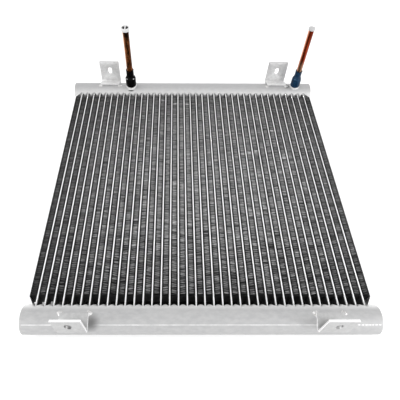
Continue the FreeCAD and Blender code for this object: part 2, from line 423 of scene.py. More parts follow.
def smooth_step(
    tree: Tree, value: Socket, start: float | Socket, end: float | Socket, falling: bool = False
) -> Socket:
    """A value's smooth way from start, where it gives 0, to end, where it gives 1.

    Args:
        tree: The node tree.
        value: The value.
        start: Where the step starts.
        end: Where it ends, above or below the start.
        falling: Whether it gives 1 at the start and 0 at the end instead.

    Returns:
        The step's output.
    """
    low, high = (1.0, 0.0) if falling else (0.0, 1.0)
    values = {"Value": value, "From Min": start, "From Max": end, "To Min": low, "To Max": high}
    return add_node(tree, "MapRange", values, interpolation_type="SMOOTHSTEP").outputs["Result"]


def mix_colours(tree: Tree, amount: Socket, under: Colour | Socket, over: Colour | Socket) -> Socket:
    """A colour with another one mixed over it.

    Args:
        tree: The node tree.
        amount: How much of the second colour shows.
        under: The first colour.
        over: The second colour.

    Returns:
        The mixed colour.
    """
    pair = [colour if isinstance(colour, Socket) else (*colour, 1.0) for colour in (under, over)]
    return add_node(tree, "Mix", {0: amount, 6: pair[0], 7: pair[1]}, data_type="RGBA").outputs[2]


def make_group(fill: Fill, output: str, inputs: dict[str, float | Triple]) -> Tree:
    """A new shader group.

    Args:
        fill: Adds the group's nodes and returns what goes out.
        output: Name of its output.
        inputs: Start value of each input; three numbers make a vector.

    Returns:
        The group's tree.
    """
    tree = bpy.data.node_groups.new(fill.__name__, "ShaderNodeTree")
    for name, value in inputs.items():
        kind = "NodeSocketVector" if isinstance(value, tuple) else "NodeSocketFloat"
        socket = tree.interface.new_socket(name, in_out="INPUT", socket_type=kind)
        socket.default_value = value
    tree.interface.new_socket(output, in_out="OUTPUT", socket_type="NodeSocketFloat")
    result = fill(tree, tree.nodes.new("NodeGroupInput").outputs)
    tree.links.new(result, tree.nodes.new("NodeGroupOutput").inputs[0])
    return tree


def shared_group(output: str, **inputs: float | Triple) -> Callable[[Fill], Callable[..., Socket]]:
    """Turn a function that fills a group into one that adds a node with that group.

    The group is made once and carries the function's name.

    Args:
        output: Name of the group's output.
        inputs: Start value of each input.

    Returns:
        The decorator.
    """

    def decorate(fill: Fill) -> Callable[..., Socket]:
        """Wrap one filling function.

        Args:
            fill: Adds the group's nodes and returns what goes out.

        Returns:
            The function that adds a node with the group.
        """

        def use(tree: Tree, **values: float | Triple) -> Socket:
            """Add a node with the group.

            Args:
                tree: The node tree that it goes into.
                values: Values of the group's inputs by name.

            Returns:
                The node's output.
            """
            group = bpy.data.node_groups.get(fill.__name__) or make_group(fill, output, inputs)
            return add_node(tree, "Group", values, node_tree=group).outputs[0]

        return use

    return decorate


@shared_group("Mask", Scale=100.0, Stretch=(1.0, 1.0, 1.0), Cover=0.5, Contrast=0.3)
def cloudy_patches(tree: Tree, given: Sockets) -> Socket:
    """Soft patches from 0 to 1, such as flux bloom, oxide or drawn streaks.

    The object's coordinates, times Stretch, drive a noise of Scale, whose middle is spread by
    Contrast and moved by Cover.

    Args:
        tree: The group's tree.
        given: The group's inputs.

    Returns:
        The mask.
    """
    place = calculate_vector(tree, "MULTIPLY", object_place(tree), given["Stretch"]).outputs[0]
    noise = add_node(tree, "TexNoise", {"Vector": place, "Scale": given["Scale"], **PATCH_NOISE})
    low = calculate(tree, "SUBTRACT", given["Cover"], given["Contrast"])
    high = calculate(tree, "ADD", given["Cover"], given["Contrast"])
    return smooth_step(tree, noise.outputs["Fac"], low, high)


@shared_group("Mask", Middle=0.016, Inner=0.006, Outer=0.009)
def core_edge(tree: Tree, given: Sockets) -> Socket:
    """1 at the core's upper and lower faces, falling to 0 deep between them.

    The distance of the object's Z from Middle is mapped from Inner, 0, to Outer, 1.

    Args:
        tree: The group's tree.
        given: The group's inputs.

    Returns:
        The mask.
    """
    away = calculate(tree, "SUBTRACT", split(tree, object_place(tree))["Z"], given["Middle"])
    return smooth_step(tree, calculate(tree, "ABSOLUTE", away), given["Inner"], given["Outer"])


@shared_group("Mask", Half=(0.1, 0.1, 0.0), Softness=0.01)
def soft_box(tree: Tree, given: Sockets) -> Socket:
    """1 inside an upright box round the origin, falling to 0 at its sides.

    Half holds half the box' length and width, and Softness the width of the fall.

    Args:
        tree: The group's tree.
        given: The group's inputs.

    Returns:
        The mask.
    """
    size = calculate_vector(tree, "ABSOLUTE", object_place(tree)).outputs[0]
    inside = split(tree, calculate_vector(tree, "SUBTRACT", given["Half"], size).outputs[0])
    least = calculate(tree, "MINIMUM", inside["X"], inside["Y"])
    return smooth_step(tree, least, 0.0, given["Softness"])


@shared_group("Mask", First=0.0, Pitch=0.01, Clear=0.34, Shut=0.7)
def between_tubes(tree: Tree, given: Sockets) -> Socket:
    """1 on the Clear side and 0 on the Shut side of a line that runs beside each tube.

    The mask goes from 1 at u = Clear to 0 at u = Shut, where u = 2 |fract((x - First) / Pitch)
    - 1/2| is 1 on a tube and 0 midway between two.

    Args:
        tree: The group's tree.
        given: The group's inputs.

    Returns:
        The mask.
    """
    way = calculate(tree, "SUBTRACT", split(tree, object_place(tree))["X"], given["First"])
    way = calculate(tree, "FRACT", calculate(tree, "DIVIDE", way, given["Pitch"]))
    way = calculate(tree, "ABSOLUTE", calculate(tree, "SUBTRACT", way, 0.5))
    way = calculate(tree, "MULTIPLY", way, 2.0)
    return smooth_step(tree, way, given["Clear"], given["Shut"], falling=True)


@shared_group("Height", Scale=1500.0, Stretch=(1.0, 1.0, 1.0))
def fine_grain(tree: Tree, given: Sockets) -> Socket:
    """A height from 0 to 1 for drawn, rolled or cast surface grain.

    The object's coordinates, times Stretch, drive a sharp noise of Scale.

    Args:
        tree: The group's tree.
        given: The group's inputs.

    Returns:
        The height.
    """
    place = calculate_vector(tree, "MULTIPLY", object_place(tree), given["Stretch"]).outputs[0]
    values = {"Vector": place, "Scale": given["Scale"], **GRAIN_NOISE}
    return add_node(tree, "TexNoise", values).outputs["Fac"]


@shared_group("Mask", Centre=(0.0, 0.0, 0.0), Size=(0.01, 0.01, 0.01), Hardness=0.2)
def soft_spot(tree: Tree, given: Sockets) -> Socket:
    """1 at Centre, falling to 0 on the ellipsoid with Size as its half lengths.

    Args:
        tree: The group's tree.
        given: The group's inputs.

    Returns:
        The mask.
    """
    offset = calculate_vector(tree, "SUBTRACT", object_place(tree), given["Centre"]).outputs[0]
    share = calculate_vector(tree, "DIVIDE", offset, given["Size"]).outputs[0]
    length = calculate_vector(tree, "LENGTH", share).outputs["Value"]
    return smooth_step(tree, length, given["Hardness"], 1.0, falling=True)


# Finishes


def grey(level: float) -> Colour:
    """A plain grey."""
    return (level, level, level)


@dataclass(frozen=True)
class Spot:
    """A soft round mark on a finish.

    Attributes:
        centre: Its middle.
        size: Its half lengths along each axis.
        colour: The metal's colour in its middle.
        hardness: Share of its size up to which it is full.
    """

    centre: Triple
    size: Triple
    colour: Colour
    hardness: float = 0.1


@dataclass(frozen=True)
class Finish:
    """A surface that drifts between two colours and two roughnesses, with a fine grain.

    Attributes:
        name: The material's name.
        light: The colour of the clean surface.
        dark: The colour inside the patches.
        smoothest: Roughness of the clean surface.
        roughest: Roughness inside the patches.
        metallic: 1 for bare metal, 0 for plastic.
        patch_scale: Noise scale of the patches, per metre.
        patch_stretch: How the patches are drawn out along each axis.
        patch_cover: Where the patches begin.
        patch_contrast: How soft their edges are.
        grain_scale: Noise scale of the grain, per metre.
        grain_stretch: How the grain is drawn out along each axis.
        grain_depth: Depth of the grain.
        specular: The shader's specular level.
        spots: Marks, such as a painted shadow beside a welded bracket, or painted shade on the floor
            of a recess.
    """

    name: str
    light: Colour
    dark: Colour
    smoothest: float
    roughest: float
    metallic: float = 1.0
    patch_scale: float = 60.0
    patch_stretch: Triple = (1.0, 1.0, 1.0)
    patch_cover: float = 0.5
    patch_contrast: float = 0.25
    grain_scale: float = 1200.0
    grain_stretch: Triple = (1.0, 1.0, 1.0)
    grain_depth: float = 0.02 * MM
    specular: float = 0.5
    spots: tuple[Spot, ...] = ()

    def build(self) -> Metal:
        """The finish as a node material.

        Returns:
            The new material.
        """
        material = bpy.data.materials.new(self.name)
        material.use_nodes = True
        tree = material.node_tree
        mask = cloudy_patches(
            tree,
            Scale=self.patch_scale,
            Stretch=self.patch_stretch,
            Cover=self.patch_cover,
            Contrast=self.patch_contrast,
        )
        surface = self.layered(tree, mix_colours(tree, mask, self.light, self.dark))
        for spot in self.spots:
            inside = soft_spot(tree, Centre=spot.centre, Size=spot.size, Hardness=spot.hardness)
            surface = mix_colours(tree, inside, surface, spot.colour)
        span = {"Value": mask, "To Min": self.smoothest, "To Max": self.roughest}
        grain = fine_grain(tree, Scale=self.grain_scale, Stretch=self.grain_stretch)
        bump = add_node(tree, "Bump", {"Distance": self.grain_depth, "Height": grain})
        fill_inputs(tree, tree.nodes["Principled BSDF"], {
            "Metallic": self.metallic,
            "Specular IOR Level": self.specular,
            "Base Color": surface,
            "Roughness": add_node(tree, "MapRange", span).outputs["Result"],
            "Normal": bump.outputs["Normal"],
        })
        return material

    def layered(self, tree: Tree, surface: Socket) -> Socket:
        """The finish's own layers over its drifting colour; a plain finish has none.

        Args:
            tree: The material's node tree.
            surface: The drifting colour.

        Returns:
            The colour with its layers.
        """
        return surface


@dataclass(frozen=True)
class CoreFinish(Finish):
    """A finish with painted shade: light at the core's two faces and dark deep between them.

    Attributes:
        deep: The colour of the painted shade deep inside.
        middle: Height of the core's middle.
        inner: Distance from the middle up to which the metal is at its darkest.
        outer: Distance from the middle where the painted shade has gone.
        tone: Name of the mesh attribute of painted light and shade that also darkens the metal, or
            empty.
        first: X of the first tube, which together with the pitch darkens the metal beside it with
            painted shade.
        pitch: Distance between two tubes, or 0 for no such shade.
        clear: Where the painted shade starts, from 0 midway between two tubes to 1 on a tube.
        shut: Where it is full.
    """

    deep: Colour = grey(0.02)
    middle: float = 16.0 * MM
    inner: float = 6.0 * MM
    outer: float = 9.0 * MM
    tone: str = ""
    first: float = 0.0
    pitch: float = 0.0
    clear: float = 0.34
    shut: float = 0.7

    def layered(self, tree: Tree, surface: Socket) -> Socket:
        """The colour with the painted shade inside mixed over it.

        Args:
            tree: The material's node tree.
            surface: The colour outside the painted shade.

        Returns:
            The mixed colour.
        """
        amount = core_edge(tree, Middle=self.middle, Inner=self.inner, Outer=self.outer)
        if self.tone:
            reading = add_node(tree, "Attribute", attribute_name=self.tone).outputs["Fac"]
            amount = calculate(tree, "MULTIPLY", amount, reading)
        if self.pitch:
            line = {"First": self.first, "Pitch": self.pitch, "Clear": self.clear, "Shut": self.shut}
            amount = calculate(tree, "MULTIPLY", amount, between_tubes(tree, **line))
        return mix_colours(tree, amount, self.deep, surface)


@dataclass(frozen=True)
class CutEdgeFinish(Finish):
    """Sheet metal whose faces that look along X, and high up those that look up, take another colour:
    a painted highlight where it is lighter, painted shade where it is darker.

    Attributes:
        cut: The colour of those faces.
        plate_foot: Height above which faces that look up take that colour too.
        turn: How far the surface looks along X, or up above plate_foot, where that colour begins, and
            where it is full.
    """

    cut: Colour = grey(1.0)
    plate_foot: float = 0.0
    turn: tuple[float, float] = (0.4, 0.8)

    def layered(self, tree: Tree, surface: Socket) -> Socket:
        """The colour, changed to painted light or shade where the surface looks along X, or up at the
        top.

        Args:
            tree: The material's node tree.
            surface: The colour of the other faces.

        Returns:
            The mixed colour.
        """
        facing = split(tree, add_node(tree, "NewGeometry").outputs["True Normal"])
        sideways = calculate(tree, "ABSOLUTE", facing["X"])
        height = split(tree, object_place(tree))["Z"]
        high = calculate(tree, "GREATER_THAN", height, self.plate_foot)
        crown = calculate(tree, "MULTIPLY", high, facing["Z"])
        most = calculate(tree, "MAXIMUM", sideways, crown)
        span = {"Value": most, "From Min": self.turn[0], "From Max": self.turn[1]}
        sharp = add_node(tree, "MapRange", span).outputs["Result"]
        return mix_colours(tree, sharp, surface, self.cut)


@dataclass(frozen=True)
class CopperFinish(Finish):
    """Drawn copper with long oxide streaks, a burnt band at one end and a painted highlight down its
    left.

    Attributes:
        burnt: The burnt band's colour.
        burnt_low: Height where the band is full.
        burnt_high: Height where it has faded.
        ragged_scale: Noise scale of the band's patches, per metre.
        ragged_stretch: How they are drawn out along each axis.
        ragged_cover: Where they begin.
        ragged_contrast: How soft their edges are.
        worn: Colour of the painted highlight down the pipe's left.
        worn_from: X of the surface normal where the stripe starts.
        worn_full: X of the surface normal where it is full.
    """

    burnt: Colour = (0.2, 0.1, 0.06)
    burnt_low: float = 0.0
    burnt_high: float = 0.0
    ragged_scale: float = 260.0
    ragged_stretch: Triple = (1.0, 1.0, 0.5)
    ragged_cover: float = 0.45
    ragged_contrast: float = 0.2
    worn: Colour = (0.82, 0.5, 0.32)
    worn_from: float = -0.55
    worn_full: float = -0.95

    def layered(self, tree: Tree, surface: Socket) -> Socket:
        """The streaked colour with the burnt band and the painted highlight over it.

        Args:
            tree: The material's node tree.
            surface: The streaked colour.

        Returns:
            The mixed colour.
        """
        height = split(tree, object_place(tree))["Z"]
        fade = smooth_step(tree, height, self.burnt_high, self.burnt_low)
        ragged = cloudy_patches(
            tree,
            Scale=self.ragged_scale,
            Stretch=self.ragged_stretch,
            Cover=self.ragged_cover,
            Contrast=self.ragged_contrast,
        )
        burnt = calculate(tree, "MULTIPLY", fade, ragged)
        facing = split(tree, add_node(tree, "NewGeometry").outputs["Normal"])
        # Painted highlight down the pipe's left, by the way the surface looks
        stripe = smooth_step(tree, facing["X"], self.worn_from, self.worn_full)
        return mix_colours(tree, stripe, mix_colours(tree, burnt, surface, self.burnt), self.worn)


HEADER_FINISH = Finish(
    "header_aluminium",
    light=grey(0.52),
    dark=(0.48, 0.48, 0.485),
    smoothest=0.58,
    roughest=0.66,
    patch_scale=260.0,
    patch_stretch=(0.5, 1.0, 1.0),
    grain_scale=900.0,
    grain_depth=0.09 * MM,
)
# Painted light and shade: the tubes are near white at their noses, with painted shade down their
# sides and on their flanks.
TUBE_FINISH = CoreFinish(
    "tube_aluminium",
    light=grey(1.0),
    dark=grey(0.96),
    smoothest=0.7,
    roughest=0.8,
    patch_scale=120.0,
    patch_stretch=(1.0, 0.3, 1.0),
    deep=grey(0.08),
    inner=6.9 * MM,
    outer=8.2 * MM,
    clear=0.93,
    shut=0.74,
)
# Painted shade deep in the core and beside each tube; the tone attribute adds painted light and shade
# leg by leg.
FIN_FINISH = CoreFinish(
    "fin_aluminium",
    light=grey(1.0),
    dark=(0.62, 0.62, 0.625),
    smoothest=0.5,
    roughest=0.6,
    metallic=0.1,
    patch_scale=110.0,
    patch_stretch=(1.0, 2.0, 1.0),
    patch_contrast=0.15,
    deep=grey(0.012),
    inner=5.4 * MM,
    outer=8.2 * MM,
    tone="tone",
)
# Painted shade on the side plates' faces that look along X
SIDE_PLATE_FINISH = CutEdgeFinish(
    "side_plate_aluminium",
    light=grey(1.0),
    dark=grey(0.9),
    smoothest=0.5,
    roughest=0.6,
    patch_scale=120.0,
    cut=grey(0.62),
    plate_foot=1.0,
)
# The welded seam bead is painted near white against the header's grey, a painted highlight along it;
# the spot at the right end is a painted highlight too
SEAM_FINISH = replace(
    SIDE_PLATE_FINISH,
    name="seam_aluminium",
    light=grey(0.95),
    dark=grey(0.66),
    spots=(Spot((0.188, -0.19, 0.03), (0.05, 0.1, 0.1), grey(1.0), 0.4),),
)
# Painted highlights: the front brackets' edges that look along X, and their top edges, are white
BRACKET_FINISH = CutEdgeFinish(
    "bracket_aluminium",
    light=grey(0.53),
    dark=grey(0.48),
    smoothest=0.5,
    roughest=0.62,
    patch_scale=260.0,
    grain_scale=700.0,
    grain_stretch=(1.0, 1.0, 0.2),
    plate_foot=62.0 * MM,
)
# A lighter copy of the bracket finish, painted light on the rear brackets; their edges that look
# along X and their top edges get painted shade
REAR_BRACKET_FINISH = replace(
    BRACKET_FINISH,
    name="rear_bracket_aluminium",
    light=grey(0.8),
    dark=grey(0.7),
    smoothest=0.6,
    roughest=0.7,
    cut=grey(0.52),
)
BRAZE_FINISH = Finish(
    "braze_metal",
    light=grey(0.85),
    dark=(0.4, 0.39, 0.38),
    smoothest=0.35,
    roughest=0.55,
    patch_scale=500.0,
    grain_scale=1500.0,
    grain_depth=0.06 * MM,
)
DARK_COPPER_FINISH = CopperFinish(
    "dark_copper",
    light=(0.34, 0.11, 0.035),
    dark=(0.012, 0.005, 0.003),
    smoothest=0.26,
    roughest=0.4,
    patch_scale=330.0,
    patch_stretch=(1.0, 1.0, 0.25),
    patch_cover=0.52,
    patch_contrast=0.16,
    grain_stretch=(1.0, 1.0, 0.1),
    burnt=(0.008, 0.004, 0.003),
    burnt_low=0.124,
    burnt_high=0.108,
)
BRIGHT_COPPER_FINISH = CopperFinish(
    "bright_copper",
    light=(0.36, 0.048, 0.013),
    dark=(0.10, 0.012, 0.004),
    smoothest=0.2,
    roughest=0.36,
    patch_scale=300.0,
    patch_stretch=(1.0, 1.0, 0.1),
    patch_contrast=0.18,
    grain_stretch=(1.0, 1.0, 0.1),
    burnt=(0.34, 0.22, 0.14),
    burnt_low=0.068,
    burnt_high=0.084,
    worn=(0.7, 0.3, 0.18),
    worn_from=-0.7,
)
BLACK_SLEEVE_FINISH = Finish(
    "black_sleeve",
    light=grey(0.001),
    dark=grey(0.003),
    smoothest=0.1,
    roughest=0.16,
    metallic=0.0,
    patch_scale=200.0,
    grain_scale=500.0,
    grain_depth=0.08 * MM,
    specular=0.05,
)
BLUE_SLEEVE_FINISH = Finish(
    "blue_sleeve",
    light=(0.012, 0.05, 0.11),
    dark=(0.002, 0.009, 0.024),
    smoothest=0.18,
    roughest=0.32,
    metallic=0.0,
    patch_scale=420.0,
    grain_scale=500.0,
    grain_depth=0.1 * MM,
    specular=0.16,
)
PLUG_FINISH = Finish(
    "plug_plastic",
    light=grey(0.72),
    dark=(0.62, 0.62, 0.625),
    smoothest=0.3,
    roughest=0.45,
    metallic=0.0,
    patch_scale=200.0,
    grain_depth=0.01 * MM,
)
OUTLET_PLUG_FINISH = replace(PLUG_FINISH, light=grey(0.52), dark=(0.44, 0.44, 0.445))


# Sub-assemblies


@dataclass(frozen=True)
class FinLayout:
    """Where one pass' fin strips lie.

    Attributes:
        low: Lowest corner of the pass.
        high: Its highest corner.
        middle: X of each strip's middle.
        half: Half a strip's width.
        folds: Number of folds in a strip.
        step: Length of one fold.
    """

    low: np.ndarray
    high: np.ndarray
    middle: np.ndarray
    half: float
    folds: int
    step: float


@dataclass
class Core:
    """The flat tubes and the folded fins between them.

    Shares, drift and lean are parts of one fold, and tones and darkenings, painted light and shade,
    of full brightness.
    """

    crest_share: float = 0.08
    bend_share: float = 0.08
    crest_drop: float = 0.06
    seam_gap: float = 0.02 * MM
    unevenness: float = 0.14
    drift: float = 0.09
    lean: float = 0.34
    alternate_tone: float = 0.46
    tone_spread: float = 0.2
    streak_contrast: float = 0.34
    bent_reach: float = 1.6 * MM
    rear_dulling: float = 0.62
    front_dulling: float = 0.35
    front_reach: float = 0.25
    side_dulling: float = 0.58
    brightest_x: float = 20.0 * MM
    dark_folds: int = 2
    nose_steps: int = 9
    seed: int = 7

    def layout(self, node: str) -> FinLayout:
        """Work out one pass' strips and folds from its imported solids.

        Args:
            node: The pass' node.

        Returns:
            The layout.
        """
        low, high = (np.array(corner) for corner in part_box(node))
        pitch = tube_pitch()
        strips = round((high[0] - low[0] + TUBE_THICKNESS) / pitch)
        folds = round((high[1] - low[1]) / FOLD_PITCH)
        half = (pitch - TUBE_THICKNESS) / 2.0 - self.seam_gap
        middle = low[0] + half + self.seam_gap + pitch * np.arange(strips)
        return FinLayout(low, high, middle, half, folds, (high[1] - low[1]) / folds)

    def fold_path(self, fins: FinLayout, rng: np.random.Generator) -> tuple[np.ndarray, np.ndarray]:
        """The line that each strip's sheet follows, seen from above.

        Along a strip the sheet crosses from tube to tube at each fold pitch: a short crest on
        each tube, a bend, and a straight leg. Each fold's place drifts along the strip as a
        random walk that is pinned at both ends, and wanders a little on top of that.

        Args:
            fins: The pass' layout.
            rng: Gives the random draws.

        Returns:
            X and Y of the line's points, four for each fold of each strip.
        """
        strips = len(fins.middle)
        ends = (strips, fins.folds + 1)

        # Corners of one leg: crest end, bend end, next bend start, next crest start
        share = np.array([self.crest_share, self.crest_share + self.bend_share])
        share = np.concatenate([share, 1.0 - share[::-1]])
        reach = np.array([-1.0, self.crest_drop - 1.0, 1.0 - self.crest_drop, 1.0])
        walk = np.cumsum(rng.normal(0.0, self.drift, ends), axis=1)
        slope = np.linspace(0.0, 1.0, fins.folds + 1)
        walk = walk - walk[:, :1] - (walk[:, -1:] - walk[:, :1]) * slope
        wander = walk + rng.normal(0.0, self.unevenness, ends)
        wander[:, [0, -1]] = 0.0
        fold = np.arange(fins.folds)
        length = 1.0 + np.diff(wander, axis=1)
        along = (fold + wander[:, :-1])[..., None] + length[..., None] * share
        turn = np.where(fold % 2 == 0, 1.0, -1.0)[None, :, None]
        across = np.broadcast_to(turn * reach, along.shape)
        path_x = fins.half * across.reshape(strips, -1) + fins.middle[:, None]
        path_y = fins.low[1] + fins.step * np.clip(along.reshape(strips, -1), 0.0, fins.folds)
        return path_x, path_y

    def sheet_ring(
        self, fins: FinLayout, path_x: np.ndarray, path_y: np.ndarray, rng: np.random.Generator
    ) -> np.ndarray:
        """The corners of the sheet's section at each point of its line.

        The sheet's two faces lie half its thickness to each side, square to the line. Each leg
        leans: its top moves along the strip and its foot the other way.

        Args:
            fins: The pass' layout.
            path_x: X of the line's points.
            path_y: Y of the line's points.
            rng: Gives the random draws.

        Returns:
            An array of shape (strips, points in a strip, 4, 3).
        """
        run_x = np.gradient(path_x, axis=1)
        run_y = np.gradient(path_y, axis=1)
        size = np.hypot(run_x, run_y)
        side_x = -run_y / size * SHEET / 2.0
        side_y = run_x / size * SHEET / 2.0
        tip = rng.normal(0.0, self.lean * fins.step, (len(fins.middle), fins.folds + 1))
        tip = np.repeat((tip[:, :-1] + tip[:, 1:]) / 2.0, 4, axis=1)
        limit = (fins.middle[:, None] - fins.half, fins.middle[:, None] + fins.half)
        ring = np.empty((*path_x.shape, 4, 3))
        for corner, (side, top) in enumerate(((1, False), (1, True), (-1, True), (-1, False))):
            along = path_y + side * side_y + (tip if top else -tip)
            ring[:, :, corner, 0] = np.clip(path_x + side * side_x, *limit)
            ring[:, :, corner, 1] = np.clip(along, fins.low[1], fins.high[1])
            ring[:, :, corner, 2] = fins.high[2] if top else fins.low[2]
        return ring

    def brightness(self, fins: FinLayout, beat: np.ndarray, rng: np.random.Generator) -> np.ndarray:
        """How brightly each leg of the fins shines: painted light and shade.

        Every other leg is dimmer, as painted shade, and an even random part is added. Random streaks
        over two legs scale that, less and less towards the rear. It is darkened by the cube of the
        way to the rear, in a slope at the front, and by the square of the distance from the brightest
        X.
        A few bent folds get a painted highlight, and the first folds are painted dark as shade.

        Args:
            fins: The pass' layout.
            beat: 0 or 1 for each strip: which of two legs is the dimmer one.
            rng: Gives the random draws.

        Returns:
            The brightness from 0 to 1, of shape (strips, folds).
        """
        shape = (len(fins.middle), fins.folds)
        pitch = tube_pitch()
        fold = np.arange(fins.folds)
        way = fold / fins.folds
        shine = 1.0 - self.tone_spread - self.alternate_tone * ((fold[None, :] + beat) % 2)
        shine = shine + rng.uniform(-self.tone_spread, self.tone_spread, shape)
        streak = rng.normal(0.0, self.streak_contrast / math.sqrt(2.0), shape)
        shine = shine * (1.0 + (streak + np.roll(streak, 1, axis=1)) * (1.0 - way))
        ahead = np.clip(1.0 - way / self.front_reach, 0.0, 1.0)
        aside = (fins.middle - self.brightest_x) / (pitch * (TUBE_COUNT + 1) / 2.0)
        shine = shine * (1.0 - self.rear_dulling * way**3)
        shine = shine * (1.0 - self.front_dulling * ahead)
        shine = shine * (1.0 - self.side_dulling * aside**2)[:, None]
        place = fins.low[1] + fins.step * (fold + 0.5)
        # Painted highlights on the bent folds
        for bent_x, bent_y in BENT_FINS:
            beside = np.abs(fins.middle - bent_x * MM)[:, None] < pitch / 2.0
            near = np.abs(place - bent_y * MM)[None, :] < self.bent_reach
            shine = np.where(beside & near, 1.0, shine)
        # Painted shade on the first folds, at the core's front end
        shine[:, :self.dark_folds] = 0.0
        return np.clip(shine, 0.0, 1.0)

    def fin_pass(self, number: int, material: Metal) -> None:
        """Build one pass' fin strips at their real fold and let them stand for the solids.

        Args:
            number: Which pass, from 1.
            material: The fins' finish.
        """
        node = "fins_pass_" + str(number)
        fins = self.layout(node)
        rng = np.random.default_rng(self.seed + number)
        path_x, path_y = self.fold_path(fins, rng)
        strips, count = path_x.shape
        beat = rng.integers(0, 2, (strips, 1))
        ring = self.sheet_ring(fins, path_x, path_y, rng)
        first_end = np.arange(4)
        last_end = 4 * count - 1 - first_end
        one = np.concatenate([grid_quads(count, 4, False, True), [first_end, last_end]])[:, ::-1]
        quads = (one[None] + (np.arange(strips) * count * 4)[:, None, None]).reshape(-1, 4)
        piece = new_piece("fin_strips_" + str(number), ring, quads, smooth=False)
        # The tone attribute carries this painted light and shade into the material
        tone = np.repeat(self.brightness(fins, beat, rng), 4, axis=1)[..., None]
        tone = np.ascontiguousarray(np.broadcast_to(tone, (strips, count, 4)), dtype=np.float32)
        layer = piece.data.attributes.new("tone", "FLOAT", "POINT")
        layer.data.foreach_set("value", tone.ravel())
        seat(piece, material, "fin_aluminium", node)

    def tube_pass(self, number: int, material: Metal) -> None:
        """Build one pass' flat tubes with round noses.

        The section is an upright oblong: two half circles joined by straight sides.

        Args:
            number: Which pass, from 1.
            material: The tubes' finish.
        """
        node = "tubes_pass_" + str(number)
        low, high = (np.array(corner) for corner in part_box(node))
        pitch = tube_pitch()
        tubes = round((high[0] - low[0] - TUBE_THICKNESS) / pitch) + 1
        radius = TUBE_THICKNESS / 2.0
        nose = np.linspace(0.0, math.pi, self.nose_steps)
        across, up = radius * np.cos(nose), radius * np.sin(nose)
        top = np.stack([across, high[2] - radius + up], axis=-1)
        foot = np.stack([-across, low[2] + radius - up], axis=-1)
        section = np.concatenate([top, foot])
        count = len(section)
        middle = low[0] + radius + pitch * np.arange(tubes)
        points = np.empty((tubes, 2, count, 3))
        points[..., 0] = middle[:, None, None] + section[:, 0]
        points[..., 1] = np.array([low[1], high[1]])[None, :, None]
        points[..., 2] = section[:, 1]
        one = grid_quads(2, count, False, True)
        quads = (one[None] + (np.arange(tubes) * 2 * count)[:, None, None]).reshape(-1, 4)
        piece = new_piece("flat_tubes_" + str(number), points, quads)
        close_ends(piece, tubes, count)
        seat(piece, material, "core_aluminium", node)


def close_ends(piece: Piece, bars: int, count: int) -> None:
    """Add a flat face at both ends of each bar of a piece.

    Args:
        piece: The piece, whose corners run bar by bar, first end then last.
        bars: Number of bars.
        count: Corners of a section.
    """
    mesh = piece.data
    points = np.empty(len(mesh.vertices) * 3, dtype=np.float32)
    mesh.vertices.foreach_get("co", points)
    sides = [tuple(face.vertices) for face in mesh.polygons]
    ends = []
    for start in range(0, bars * 2 * count, 2 * count):
        ends.append(tuple(range(start, start + count)))
        ends.append(tuple(range(start + 2 * count - 1, start + count - 1, -1)))
    fresh = bpy.data.meshes.new(mesh.name)
    fresh.from_pydata(points.reshape(-1, 3).tolist(), [], sides + ends)
    fresh.polygons.foreach_set("use_smooth", [True] * len(sides) + [False] * len(ends))
    piece.data = fresh


